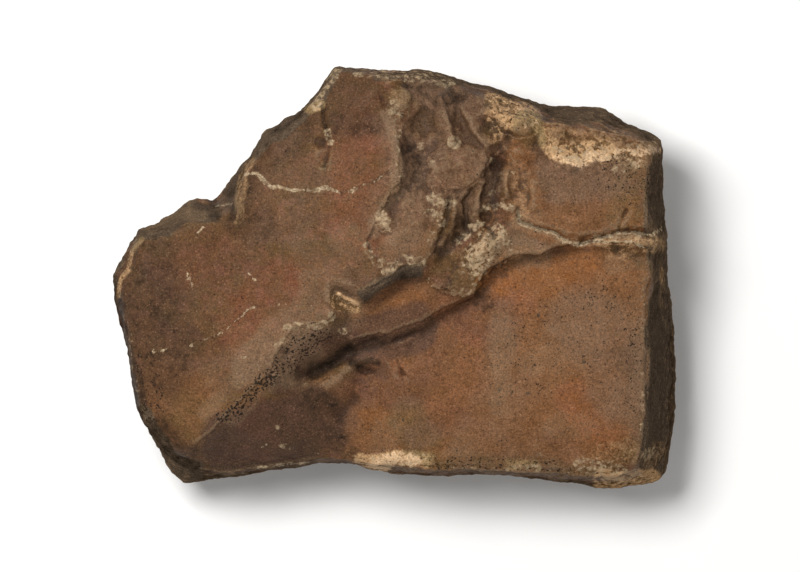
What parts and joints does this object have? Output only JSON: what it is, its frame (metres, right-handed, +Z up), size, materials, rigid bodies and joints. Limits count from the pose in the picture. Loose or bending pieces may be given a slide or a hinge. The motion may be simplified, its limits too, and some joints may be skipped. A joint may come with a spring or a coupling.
{
  "type": "meteorite",
  "caption": "Broken, desert-weathered stone meteorite with a stepped ledge, a caliche-filled crack and a knobbly fracture zone, lying on a small flat facet",
  "frame": {"origin": "centre of the stone's box in plan, at the height of the flat facet that it lies on", "axes": "+X along the stone's longest way, +Y across it, +Z up out of the face with the ledge and the crack"},
  "size_m": [0.1808, 0.1346, 0.0742],
  "materials": {
    "stone": "weathered, matte with a faint sheen on worn faces"
  },
  "bodies": {
    "root": {"meteorite": "stone"}
  },
  "joints": []
}
